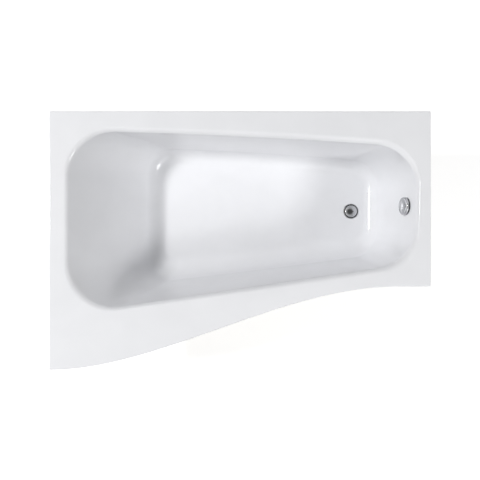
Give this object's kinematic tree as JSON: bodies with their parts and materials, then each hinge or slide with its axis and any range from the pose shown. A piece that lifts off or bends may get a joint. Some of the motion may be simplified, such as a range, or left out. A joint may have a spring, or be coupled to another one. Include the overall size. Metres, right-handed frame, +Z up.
{
  "type": "p shaped shower bath",
  "caption": "P-shaped shower bath with a broad head end, sloping backrest, rotary pop-up waste and overflow, trap and adjustable steel cradle.",
  "frame": {"origin": "on the ground below the feet, midway along the length and midway across the full width of the rim's outline", "axes": "+X from the head end towards the foot end with the waste, +Y towards the wall side, +Z up"},
  "size_m": [1.5, 1.017, 0.56],
  "materials": {
    "acrylic": "glossy white sanitary acrylic",
    "laminate": "rough glass-fibre laminate",
    "board": "pressed wood board",
    "zinc_steel": "zinc-plated steel strip",
    "screw_steel": "zinc-plated steel fasteners",
    "stud_steel": "zinc-plated threaded rod",
    "pin_steel": "bright stainless steel",
    "chrome": "polished chrome plating",
    "brass": "turned brass",
    "rubber": "black sealing rubber",
    "white_plastic": "white moulded polypropylene",
    "grey_plastic": "grey corrugated polypropylene",
    "black_plastic": "black moulded plastic"
  },
  "bodies": {
    "bath": {"bath_shell": "acrylic", "base_laminate": "laminate", "base_board": "board", "rim_board_wall": "board", "rim_board_head": "board", "rim_board_foot": "board", "rim_board_front": "board", "head_channel": "zinc_steel", "foot_channel": "zinc_steel", "centre_bracket": "zinc_steel", "channel_screws": "screw_steel", "lock_nuts": "screw_steel", "wall_bracket_head": "zinc_steel", "wall_bracket_foot": "zinc_steel", "bracket_screws": "screw_steel", "waste_flange": "chrome", "flange_seal": "rubber", "waste_body": "white_plastic", "body_seal": "rubber", "rocker_pin": "pin_steel", "overflow_ring": "chrome", "overflow_seal": "rubber", "overflow_body": "white_plastic", "ring_screws": "screw_steel", "overflow_hose": "grey_plastic", "hose_nut_overflow": "white_plastic", "hose_nut_waste": "white_plastic", "control_cable": "black_plastic", "trap_seal": "rubber", "trap_nut": "white_plastic"},
    "knob": {"overflow_knob": "chrome", "knob_spindle": "pin_steel", "cable_drum": "white_plastic"},
    "rocker": {"rocker": "white_plastic"},
    "lift_pin": {"lift_pin": "pin_steel"},
    "plug": {"plug_cap": "chrome", "plug_seal": "rubber", "plug_screw": "brass"},
    "trap": {"trap_body": "white_plastic", "outlet_seal": "rubber", "outlet_nut": "white_plastic"},
    "foot_head_wall": {"foot_stud_head_wall": "stud_steel", "foot_pad_head_wall": "black_plastic"},
    "foot_head_front": {"foot_stud_head_front": "stud_steel", "foot_pad_head_front": "black_plastic"},
    "foot_foot_wall": {"foot_stud_foot_wall": "stud_steel", "foot_pad_foot_wall": "black_plastic"},
    "foot_foot_front": {"foot_stud_foot_front": "stud_steel", "foot_pad_foot_front": "black_plastic"},
    "foot_centre": {"foot_stud_centre": "stud_steel", "foot_pad_centre": "black_plastic"}
  },
  "joints": [
    {"name": "knob_turn", "type": "hinge", "parent": "bath", "child": "knob", "pos_m": [0.68195, 0.141, 0.465], "axis": [-0.9806, 0, 0.1959], "range_deg": [0, 60]},
    {"name": "rocker_tilt", "type": "hinge", "parent": "bath", "child": "rocker", "pos_m": [0.532, 0.136, 0.122], "axis": [0, 1, 0], "range_deg": [0, 31.89]},
    {"name": "pin_lift", "type": "slide", "parent": "bath", "child": "lift_pin", "axis": [0, 0, 1], "range_m": [0, 0.008]},
    {"name": "plug_lift_out", "type": "slide", "parent": "lift_pin", "child": "plug", "axis": [0, 0, 1], "range_m": [0, 0.06]},
    {"name": "trap_swivel", "type": "hinge", "parent": "bath", "child": "trap", "pos_m": [0.518, 0.136, 0.09], "axis": [0, 0, 1], "range_deg": [-45, 45]},
    {"name": "foot_height_head_wall", "type": "slide", "parent": "bath", "child": "foot_head_wall", "axis": [0, 0, -1], "range_m": [-0.01, 0.025]},
    {"name": "foot_height_head_front", "type": "slide", "parent": "bath", "child": "foot_head_front", "axis": [0, 0, -1], "range_m": [-0.01, 0.025]},
    {"name": "foot_height_foot_wall", "type": "slide", "parent": "bath", "child": "foot_foot_wall", "axis": [0, 0, -1], "range_m": [-0.01, 0.025]},
    {"name": "foot_height_foot_front", "type": "slide", "parent": "bath", "child": "foot_foot_front", "axis": [0, 0, -1], "range_m": [-0.01, 0.025]},
    {"name": "foot_height_centre", "type": "slide", "parent": "bath", "child": "foot_centre", "axis": [0, 0, -1], "range_m": [-0.01, 0.025]}
  ],
  "couplings": [
    {"joint": "rocker_tilt", "follows": "knob_turn", "ratio": 0.53151},
    {"joint": "pin_lift", "follows": "knob_turn", "m_per_rad": 0.0076394}
  ]
}
